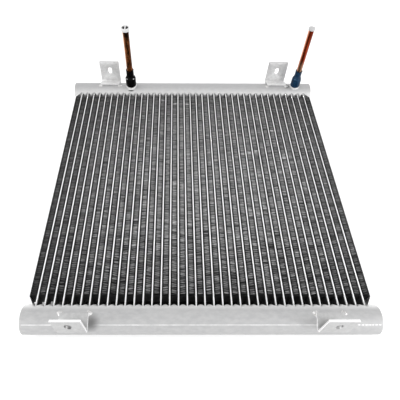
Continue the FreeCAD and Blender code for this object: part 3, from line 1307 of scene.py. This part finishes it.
@dataclass
class Header:
    """One round header with a pressed dimple round each tube."""

    side: Side
    dimple_depth: float = 3.0 * MM
    dimple_angle: float = 52.0
    dimple_softness: float = 18.0
    notch_least: float = 0.12
    rib_sharpness: float = 0.8
    steps_a_pitch: int = 14
    steps_round: int = 96
    cap_round: float = 0.8 * MM
    cap_round_steps: int = 5
    cap_steps: int = 64
    seam_angle: float = 51.0
    seam_width: float = 0.8 * MM
    seam_height: float = 0.2 * MM
    seam_steps: int = 500
    seam_sides: int = 7
    seam_unevenness: float = 0.5
    seam_waves: tuple[float, float] = (310.0, 97.0)
    ragged_from: float = 0.15
    ragged_height: float = 1.5
    ragged_wave: float = 1700.0

    def place(self) -> tuple[float, float, float]:
        """Y and Z of the axis, and the radius.

        Returns:
            (axis y, axis z, radius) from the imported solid.
        """
        low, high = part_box(node_name("header", self.side))
        radius = (high[2] - low[2]) / 2.0
        axis_y = low[1] + radius if self.side is Side.FRONT else high[1] - radius
        return axis_y, (high[2] + low[2]) / 2.0, radius

    def surface(self, angle: float) -> tuple[float, float]:
        """Y and Z of a point of the round, at an angle in degrees from its outer side.

        Args:
            angle: The angle, upwards over the top.

        Returns:
            (y, z) of the point.
        """
        axis_y, axis_z, radius = self.place()
        turn = math.radians(angle)
        return axis_y + self.side.value * radius * math.cos(turn), axis_z + radius * math.sin(turn)

    def build(self, material: Metal) -> None:
        """Build the header's skin.

        The radius is the round's, less a depth. The depth is greatest at each tube and falls
        off towards the middle between two tubes as one less the sine of the way. Above and
        below the tube a smooth step on the angle makes the dimple both shallower and narrower,
        so that it ends in a point.

        Args:
            material: The header's finish.
        """
        node = node_name("header", self.side)
        low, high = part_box(node)
        axis_y, axis_z, radius = self.place()
        pitch = tube_pitch()
        first = first_tube_x()
        start = first - pitch / 2.0
        end = first + (TUBE_COUNT - 1) * pitch + pitch / 2.0
        stations = np.linspace(start, end, TUBE_COUNT * self.steps_a_pitch + 1)
        along = np.concatenate([[low[0]], stations, [high[0]]])
        angle = full_turn(self.steps_round)
        lean = np.degrees(np.abs((angle + math.pi) % (2.0 * math.pi) - math.pi))
        fade = np.clip((self.dimple_angle - lean) / self.dimple_softness, 0.0, 1.0)
        fade = fade**2 * (3.0 - 2.0 * fade)
        way = np.abs(np.sin(math.pi * (along - first) / pitch)) ** self.rib_sharpness
        inside = (along > start) & (along < end)
        spread = np.maximum(fade, self.notch_least)
        press = np.clip(1.0 - way[:, None] / spread[None, :], 0.0, 1.0) * inside[:, None]
        reach = radius - self.dimple_depth * press * fade[None, :]
        towards_core = -self.side.value
        points = np.empty((len(along), self.steps_round, 3))
        points[..., 0] = along[:, None]
        points[..., 1] = axis_y + towards_core * reach * np.cos(angle)
        points[..., 2] = axis_z + reach * np.sin(angle)
        poles = np.array([[low[0], axis_y, axis_z], [high[0], axis_y, axis_z]])
        piece = lofted_piece(node + "_skin", points, poles, towards_core > 0)
        seat(piece, material, "header_aluminium", node)

    def band(self, angle: float, half: Triple, colour: Colour) -> Spot:
        """A soft band of another grey that runs along the header: painted light where it is lighter
        than the metal, painted shade where it is darker.

        Args:
            angle: Where it lies round the header, in degrees from its outer side.
            half: Its half lengths.
            colour: Its colour.

        Returns:
            The band, as one long mark.
        """
        return Spot((0.0, *self.surface(angle)), half, colour)

    def seam(self, material: Metal) -> None:
        """Lay the thin welded seam along the header's outer side.

        A low half-round bead follows the header's line at the seam's angle. Its height waves by
        the product of two sines along X, and past a place on the right a faster sine breaks it
        up.

        Args:
            material: The seam's finish.
        """
        node = node_name("header", self.side)
        low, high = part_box(node)
        axis_y, axis_z, radius = self.place()
        along = np.linspace(low[0], high[0], self.seam_steps)
        quick, slow = (np.sin(along * wave) for wave in self.seam_waves)
        rough = 1.0 + self.seam_unevenness * quick * slow
        ragged = (along > self.ragged_from) * self.ragged_height * np.sin(along * self.ragged_wave)
        height = self.seam_height * np.maximum(rough + ragged, 0.0)
        across = np.linspace(0.0, math.pi, self.seam_sides)
        turn = math.radians(self.seam_angle) + self.seam_width / 2.0 / radius * np.cos(across)
        reach = radius - SUNK + height[:, None] * np.sin(across)[None, :]
        points = np.empty((self.seam_steps, self.seam_sides, 3))
        points[..., 0] = along[:, None]
        points[..., 1] = axis_y + self.side.value * reach * np.cos(turn)
        points[..., 2] = axis_z + reach * np.sin(turn)
        poles = points[[0, -1]].mean(axis=1)
        piece = lofted_piece(node + "_seam", points, poles, self.side is Side.FRONT)
        seat(piece, material, "header_aluminium")

    def cap(self, end: End, material: Metal) -> None:
        """Build one end cap as a disc with a rounded outer rim.

        Args:
            end: Which end of the header.
            material: The cap's finish.
        """
        node = node_name("end_cap", self.side, end)
        low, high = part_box(node)
        axis_y, axis_z, radius = self.place()
        thick = high[0] - low[0]
        corners = [(0.0, 0.0), (radius, 0.0), (radius, thick), (0.0, thick)]
        rim = rounded(corners, self.cap_round, self.cap_round_steps)[1:-1]
        rim = rim[rim[:, 1] > thick / 2.0]
        profile = np.concatenate([corners[:2], rim, corners[-1:]])
        foot = low[0] if end is End.RIGHT else high[0]
        place = (foot, axis_y, axis_z)
        piece = turned_piece(node + "_disc", profile, place, self.cap_steps, True, end.value)
        seat(piece, material, "header_aluminium", node)


@dataclass
class Brackets:
    """The four slotted brackets and the weld beads at their feet."""

    edge_break: float = 0.3 * MM
    bead_long: float = 3.3 * MM
    bead_wide: float = 3.0 * MM
    bead_high: float = 2.5 * MM
    bead_steps: int = 28
    bead_rings: int = 9
    crater: float = 0.75
    crater_size: float = 0.35
    rim_waves: tuple[tuple[float, float], ...] = ((0.12, 3.0), (0.06, 7.0))
    rim_turn: float = 1.7
    tint_shift: float = 0.2
    slot_drop: float = 16.0 * MM
    slot_half: Triple = (4.2 * MM, 8.0 * MM, 7.4 * MM)
    slot_hardness: float = 0.75

    def build(self, side: Side, end: End, material: Metal, weld: Metal) -> None:
        """Dress one bracket and set its two weld beads.

        Args:
            side: Which header carries it.
            end: Which end of the header.
            material: The bracket's finish.
            weld: The beads' finish.
        """
        node = node_name("bracket", side, end)
        seat(softened_copy(node, self.edge_break), material, "bracket_aluminium", node)
        low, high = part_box(node)
        axis_y, axis_z, radius = Header(side).place()
        free_y = low[1] if side is Side.REAR else high[1]
        height = axis_z + math.sqrt(radius**2 - (free_y - axis_y) ** 2)
        for number, x in enumerate((low[0], high[0])):
            bead = self.bead(node + "_bead_" + str(number + 1), (x, free_y, height), number)
            seat(bead, weld, "bracket_aluminium")

    def heat_tint(self, side: Side, end: End, angle: float, size: Triple, colour: Colour) -> Spot:
        """A painted shadow of a bracket on the header, just right of its foot.

        Args:
            side: Which header carries the bracket.
            end: Which end of the header.
            angle: Where the mark lies round the header, in degrees from its outer side.
            size: The mark's half lengths.
            colour: The mark's colour.

        Returns:
            The mark.
        """
        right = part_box(node_name("bracket", side, end))[1][0]
        centre = (right + size[0] * self.tint_shift, *Header(side).surface(angle))
        return Spot(centre, size, colour)

    def slot_shade(self, end: End, colour: Colour) -> Spot:
        """The painted shade on the walls of a front bracket's slot, in the middle of its plate.

        Args:
            end: Which front bracket.
            colour: The shade's colour.

        Returns:
            The mark.
        """
        low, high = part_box(node_name("bracket", Side.FRONT, end))
        centre = ((low[0] + high[0]) / 2.0, low[1], high[2] - self.slot_drop)
        return Spot(centre, self.slot_half, colour, self.slot_hardness)

    def bead(self, name: str, spot: Triple, variant: int) -> Piece:
        """A small weld bead: a low mound with a sunken middle and an uneven rim.

        Height over the foot is a raised cosine of the distance from the middle, less a
        crater, and the rim's distance waves round the mound.

        Args:
            name: Name of the piece.
            spot: Where the bead sits on the header.
            variant: Turns the waves, so that no two neighbours are alike.

        Returns:
            The new object.
        """
        angle = full_turn(self.bead_steps)
        share = np.linspace(0.0, 1.0, self.bead_rings)[1:]
        (wide, slow), (narrow, quick) = self.rim_waves
        wave = 1.0 + wide * np.sin(slow * angle + self.rim_turn * variant)
        wave = wave + narrow * np.sin(quick * angle)
        out = share[:, None] * wave[None, :]
        mound = 0.5 + 0.5 * np.cos(math.pi * share)
        pit = self.crater * np.exp(-((share / self.crater_size) ** 2))
        lift = (mound - pit)[:, None] * np.ones(self.bead_steps)
        top = np.stack([
            out * self.bead_long * np.cos(angle),
            out * self.bead_wide * np.sin(angle),
            lift * self.bead_high,
        ], axis=-1)
        skirt = top[-1:].copy()
        skirt[..., 2] = -self.bead_high
        rings = np.concatenate([top, skirt]) + np.array(spot)
        poles = np.array([[0, 0, self.bead_high * (1.0 - self.crater)], [0, 0, -self.bead_high]])
        return lofted_piece(name, rings, poles + np.array(spot), False)


@dataclass
class PipeConnection:
    """One upright pipe with its shrunk sleeve, plug and braze ring."""

    port: str
    steps_round: int = 56
    pipe_rings: int = 24
    sleeve_wall: float = 1.2 * MM
    sleeve_round: float = 1.1 * MM
    sleeve_round_steps: int = 6
    foot_inset: float = 0.5 * MM
    foot_height: float = 1.6 * MM
    flare_height: float = 1.5 * MM
    lip_gap: float = 0.1 * MM
    lip_drop: float = 0.2 * MM
    lip_end_gap: float = 0.02 * MM
    lip_depth: float = 3.0 * MM
    rim_flare: float = 0.35 * MM
    rim_dip: float = 0.9 * MM
    ring_reach: float = 0.9 * MM
    ring_height: float = 1.2 * MM
    ring_rise: float = 1.5
    ring_waves: tuple[tuple[float, float, float], ...] = ((0.05, 5.0, 0.0), (0.04, 3.0, 1.0))
    ring_steps: int = 8
    ring_depth: float = 0.4 * MM
    line_gap: float = 0.8 * MM
    line_half: Triple = (6.5 * MM, 1.3 * MM, 3.0 * MM)
    line_colour: Colour = grey(0.07)
    line_hardness: float = 0.3
    plug_edge: float = 0.3 * MM
    recessed: bool = False
    mark_colour: Colour = grey(0.8)
    mark_size: Triple = (2.1 * MM, 2.1 * MM, 1.0 * MM)
    mark_angles: tuple[float, ...] = (-46.0, 46.0)
    mark_drop: float = 0.9 * MM
    shade_depth: float = 2.4 * MM
    shade_half: Triple = (5.4 * MM, 5.4 * MM, 2.5 * MM)
    shade_colour: Colour = grey(0.004)
    shade_hardness: float = 0.85

    def axis(self) -> tuple[float, float]:
        """X and Y of the pipe's axis."""
        low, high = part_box(self.port + "_pipe")
        return (low[0] + high[0]) / 2.0, (low[1] + high[1]) / 2.0

    def radius(self, piece: str) -> float:
        """Outer radius of one of the port's solids."""
        low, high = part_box(self.port + "_" + piece)
        return (high[0] - low[0]) / 2.0

    def pipe(self, material: Metal, slot: str) -> None:
        """Build the pipe's skin, from the stub's foot to under the plug.

        Args:
            material: The copper's finish.
            slot: The record's material slot.
        """
        node = self.port + "_pipe"
        low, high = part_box(node)
        heights = np.linspace(low[2], high[2], self.pipe_rings)
        body = np.stack([np.full_like(heights, self.radius("pipe")), heights], axis=-1)
        profile = np.concatenate([[[0.0, low[2]]], body, [[0.0, high[2]]]])
        piece = turned_piece(node + "_skin", profile, (*self.axis(), 0.0), self.steps_round)
        piece.data.shade_smooth()
        seat(piece, material, slot, node)

    def shine_mark(self, angle: float, height: float) -> Spot:
        """A painted highlight on the sleeve's shoulder.

        Args:
            angle: Its turn to the right from the front, in degrees.
            height: Its height.

        Returns:
            The mark.
        """
        x, y = self.axis()
        reach = (self.radius("sleeve") + self.radius("pipe") + self.sleeve_wall) / 2.0
        turn = math.radians(angle)
        centre = (x + reach * math.sin(turn), y - reach * math.cos(turn), height)
        return Spot(centre, self.mark_size, self.mark_colour)

    def sleeve(self, finish: Finish, slot: str, shoulder: float, slope: float) -> None:
        """Build the shrunk sleeve: wide over the stub, drawn in over the pipe, its rim uneven.

        The profile goes up the outside and down a short lip inside the rim. The rim's height
        dips towards the front and back by a cosine of twice the angle.

        Args:
            finish: The sleeve's finish, without its painted highlights.
            slot: The record's material slot.
            shoulder: Height where the sleeve has drawn in.
            slope: Height where it starts to.
        """
        node = self.port + "_sleeve"
        # Painted highlights on the sleeve's shoulder
        highlight_height = (shoulder + slope) / 2.0 - self.mark_drop
        marks = tuple(self.shine_mark(angle, highlight_height) for angle in self.mark_angles)
        low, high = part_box(node)
        x, y = self.axis()
        wide = self.radius("sleeve")
        pipe = self.radius("pipe")
        narrow = pipe + self.sleeve_wall
        corners = [
            (pipe, low[2]),
            (wide - self.foot_inset, low[2]),
            (wide, low[2] + self.foot_height),
            (wide, slope),
            (narrow, shoulder),
            (narrow, high[2] - self.flare_height),
            (narrow + self.rim_flare, high[2]),
            (pipe + self.lip_gap, high[2] - self.lip_drop),
            (pipe + self.lip_end_gap, high[2] - self.lip_depth),
        ]
        profile = rounded(corners, self.sleeve_round, self.sleeve_round_steps)
        angle = full_turn(self.steps_round)
        tall = np.clip((profile[:, 1] - shoulder) / (high[2] - shoulder), 0.0, 1.0)
        dip = self.rim_dip * (0.5 - 0.5 * np.cos(2.0 * angle))
        points = np.empty((len(profile), self.steps_round, 3))
        points[..., 0] = x + profile[:, 0, None] * np.cos(angle)
        points[..., 1] = y + profile[:, 0, None] * np.sin(angle)
        points[..., 2] = profile[:, 1, None] - (tall**4)[:, None] * dip
        quads = grid_quads(len(profile), self.steps_round, True, True)[:, ::-1]
        piece = new_piece(node + "_skin", points, quads)
        seat(piece, replace(finish, spots=marks).build(), slot, node)

    def braze_ring(self, material: Metal) -> None:
        """Build the fillet of braze round the stub's foot, lying on the header's round.

        Each ring of points follows the header's height at its own place, and rises towards
        the stub by a power of the way in. Its distance from the stub waves by two sines.

        Args:
            material: The braze's finish.
        """
        x, y = self.axis()
        axis_y, axis_z, radius = Header(Side.REAR).place()
        inner = self.radius("stub")
        outer = self.radius("sleeve") + self.ring_reach
        angle = full_turn(self.steps_round)
        way = np.linspace(0.0, 1.0, self.ring_steps)
        wave = 1.0
        for depth, count, turn in self.ring_waves:
            wave = wave + depth * np.sin(count * angle + turn)
        reach = inner + (outer - inner) * (1.0 - way)[:, None] * wave
        px = x + reach * np.cos(angle)
        py = y + reach * np.sin(angle)
        surface = axis_z + np.sqrt(radius**2 - (py - axis_y) ** 2)
        pz = surface - SUNK + self.ring_height * (way**self.ring_rise)[:, None]
        top = np.stack([px, py, pz], axis=-1)
        under = top[::-1].copy()
        under[..., 2] = np.minimum(under[..., 2], surface[::-1]) - self.ring_depth
        points = np.concatenate([top, under])
        quads = grid_quads(len(points), self.steps_round, True, True)[:, ::-1]
        seat(new_piece(self.port + "_braze_ring", points, quads), material, "stub_aluminium")

    def plug(self, finish: Finish) -> None:
        """Dress the plug, its edges broken and painted shade on the floor of its recess.

        Args:
            finish: The plastic's finish, without the painted shade.
        """
        node = self.port + "_plug"
        centre = (*self.axis(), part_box(node)[1][2] - self.shade_depth)
        shade = Spot(centre, self.shade_half, self.shade_colour, self.shade_hardness)
        spots = (shade,) if self.recessed else ()
        material = replace(finish, name=self.port + "_plug_plastic", spots=spots).build()
        seat(softened_copy(node, self.plug_edge), material, "plug_plastic", node)

    def dark_line(self) -> Spot:
        """The painted shadow, a dark line on the header in front of the braze ring.

        Returns:
            The line, as one mark.
        """
        x, y = self.axis()
        axis_y, axis_z, radius = Header(Side.REAR).place()
        line_y = y - self.radius("sleeve") - self.ring_reach - self.line_gap
        line_z = axis_z + math.sqrt(radius**2 - (line_y - axis_y) ** 2)
        return Spot((x, line_y, line_z), self.line_half, self.line_colour, self.line_hardness)


# Studio


@dataclass
class Studio:
    """Floor, light and camera."""

    floor_size: float = 12.0
    floor_grey: float = 0.93
    floor_roughness: float = 0.9
    floor_glow: float = 0.15
    shade_grey: float = 0.01
    shade_half: Triple = (0.172, 0.18, 0.0)
    shade_softness: float = 0.012
    world_strength: float = 1.2
    lamp_power: float = 2.0
    lamp_size: float = 0.1
    left_lamp: Triple = (-0.9, -0.5, 0.2)
    right_lamp: Triple = (0.75, -0.5, 0.2)

    def floor(self) -> None:
        """A plain pale floor with painted shade under the core, that can be looked through from
        below.
        """
        half = self.floor_size / 2.0
        points = np.array([[-half, -half, 0], [half, -half, 0], [half, half, 0], [-half, half, 0]])
        floor = new_piece("floor", points, np.array([[0, 1, 2, 3]]))
        material = bpy.data.materials.new("pale_floor")
        material.use_nodes = True
        tree = material.node_tree
        # Painted shade: inside a soft box under the core the floor's colour, and with it its glow, is
        # dark grey
        under = soft_box(tree, Half=self.shade_half, Softness=self.shade_softness)
        colour = mix_colours(tree, under, grey(self.floor_grey), grey(self.shade_grey))
        shader = tree.nodes["Principled BSDF"]
        fill_inputs(tree, shader, {
            "Roughness": self.floor_roughness,
            "Base Color": colour,
            "Emission Color": colour,
            "Emission Strength": self.floor_glow,
        })
        from_below = add_node(tree, "NewGeometry").outputs["Backfacing"]
        clear = add_node(tree, "BsdfTransparent").outputs[0]
        either = add_node(tree, "MixShader", {0: from_below, 1: shader.outputs[0], 2: clear})
        fill_inputs(tree, tree.nodes["Material Output"], {"Surface": either.outputs[0]})
        floor.data.materials.append(material)

    def light(self) -> None:
        """An even white surround, and two small lamps in front, one on each side."""
        world = bpy.data.worlds.new("studio")
        world.use_nodes = True
        background = world.node_tree.nodes["Background"]
        background.inputs["Color"].default_value = (1.0, 1.0, 1.0, 1.0)
        background.inputs["Strength"].default_value = self.world_strength
        bpy.context.scene.world = world
        self.lamp("left_lamp", self.left_lamp)
        self.lamp("right_lamp", self.right_lamp)
        bpy.context.scene.view_settings.view_transform = "Standard"

    def lamp(self, name: str, place: Triple) -> None:
        """A square lamp that looks at the condenser's middle.

        Args:
            name: Name of the lamp.
            place: Where it hangs.
        """
        data = bpy.data.lights.new(name, "AREA")
        data.energy = self.lamp_power
        data.size = self.lamp_size
        lamp = bpy.data.objects.new(name, data)
        lamp.location = place
        lamp.rotation_euler = (-Vector(place)).to_track_quat("-Z", "Y").to_euler()
        bpy.context.scene.collection.objects.link(lamp)

    def camera(self) -> None:
        """The photograph's camera: place, pitch, yaw, roll, lens and shift."""
        pitch, yaw, roll = (math.radians(a) for a in (CAMERA_PITCH, CAMERA_YAW, CAMERA_ROLL))
        forward = Vector((
            math.sin(yaw) * math.cos(pitch),
            math.cos(yaw) * math.cos(pitch),
            -math.sin(pitch),
        ))
        level = Vector((math.cos(yaw), -math.sin(yaw), 0.0))
        upright = level.cross(forward)
        right = math.cos(roll) * level + math.sin(roll) * upright
        up = -math.sin(roll) * level + math.cos(roll) * upright
        turn = Matrix((right, up, -forward)).transposed()
        data = bpy.data.cameras.new("camera")
        data.sensor_width = SENSOR_WIDTH
        data.lens = FOCAL_PIXELS / IMAGE_SIZE * SENSOR_WIDTH
        data.shift_x = 0.5 - CENTRE_PIXEL[0] / IMAGE_SIZE
        data.shift_y = CENTRE_PIXEL[1] / IMAGE_SIZE - 0.5
        data.clip_start = 0.01
        camera = bpy.data.objects.new("camera", data)
        camera.matrix_world = Matrix.Translation(CAMERA_PLACE) @ turn.to_4x4()
        bpy.context.scene.collection.objects.link(camera)
        bpy.context.scene.camera = camera


def build_headers(brackets: Brackets, inlet: PipeConnection, braze: Metal) -> None:
    """Build both headers with their seams, caps, brackets and baffles.

    Args:
        brackets: The brackets' builder.
        inlet: The inlet, in front of which a painted shadow lies on the rear header.
        braze: The weld beads' finish.
    """
    # Painted shadows that the front-left and rear-right brackets cast on their headers
    front_shadow = brackets.heat_tint(
        Side.FRONT,
        End.LEFT,
        angle=58.0,
        size=(12.0 * MM, 14.0 * MM, 13.0 * MM),
        colour=grey(0.24),
    )
    rear_shadow = brackets.heat_tint(
        Side.REAR,
        End.RIGHT,
        angle=95.0,
        size=(6.0 * MM, 6.0 * MM, 5.0 * MM),
        colour=(0.12, 0.12, 0.1),
    )
    half = (2.0, 11.0 * MM, 11.0 * MM)
    # Painted light on both headers' upper inner side, painted shade along the rear header's top, and
    # the painted shadows of two brackets and of the inlet's foot
    marks = (
        Header(Side.FRONT).band(angle=145.0, half=half, colour=grey(0.85)),
        Header(Side.REAR).band(angle=145.0, half=half, colour=grey(0.6)),
        Header(Side.REAR).band(angle=85.0, half=half, colour=(0.47, 0.47, 0.475)),
        front_shadow,
        rear_shadow,
        inlet.dark_line(),
    )
    metal = replace(HEADER_FINISH, spots=marks).build()
    # The front-left bracket's painted shadow falls over the seam too
    seam_metal = replace(SEAM_FINISH, spots=(*SEAM_FINISH.spots, front_shadow)).build()
    # Painted shade in the front brackets' slots
    slot_greys = {End.LEFT: 0.1, End.RIGHT: 0.34}
    slots = tuple(brackets.slot_shade(end, grey(level)) for end, level in slot_greys.items())
    bracket_metal = {
        Side.FRONT: replace(BRACKET_FINISH, spots=slots).build(),
        Side.REAR: REAR_BRACKET_FINISH.build(),
    }
    headers = (Header(Side.FRONT), Header(Side.REAR, dimple_angle=44.0, dimple_softness=12.0))
    for header in headers:
        side = header.side
        header.build(metal)
        header.seam(seam_metal)
        for end in End:
            header.cap(end, metal)
            brackets.build(side, end, bracket_metal[side], braze)
    for node in ("baffle_rear_left", "baffle_front", "baffle_rear_right"):
        dress_node(node, metal)


def main() -> None:
    """Build and dress every piece, then set the studio."""
    logging.basicConfig(level=logging.INFO, format="%(name)s: %(message)s")
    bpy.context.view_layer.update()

    inlet = PipeConnection("inlet", recessed=True)
    # The outlet's sleeve has one light blue painted highlight
    outlet = PipeConnection("outlet", mark_colour=(0.05, 0.14, 0.24), mark_angles=(-40.0,))
    braze = BRAZE_FINISH.build()
    tubes = {"first": first_tube_x(), "pitch": tube_pitch()}
    tube_metal = replace(TUBE_FINISH, **tubes).build()
    fin_metal = replace(FIN_FINISH, **tubes).build()

    core = Core()
    for number in range(1, PASS_COUNT + 1):
        core.tube_pass(number, tube_metal)
        core.fin_pass(number, fin_metal)

    build_headers(Brackets(), inlet, braze)
    side_plate_metal = SIDE_PLATE_FINISH.build()
    for end in End:
        dress_node("side_plate_" + end.name.lower(), side_plate_metal)

    inlet.pipe(DARK_COPPER_FINISH.build(), "dark_copper")
    inlet.sleeve(BLACK_SLEEVE_FINISH, "black_sleeve", shoulder=50.5 * MM, slope=47.0 * MM)
    outlet.pipe(BRIGHT_COPPER_FINISH.build(), "bright_copper")
    outlet.sleeve(BLUE_SLEEVE_FINISH, "blue_sleeve", shoulder=52.0 * MM, slope=45.5 * MM)
    for connection in (inlet, outlet):
        dress_node(connection.port + "_stub", braze)
        connection.braze_ring(braze)
    inlet.plug(PLUG_FINISH)
    outlet.plug(OUTLET_PLUG_FINISH)

    studio = Studio()
    studio.floor()
    studio.light()
    studio.camera()


if __name__ == "__main__":
    main()
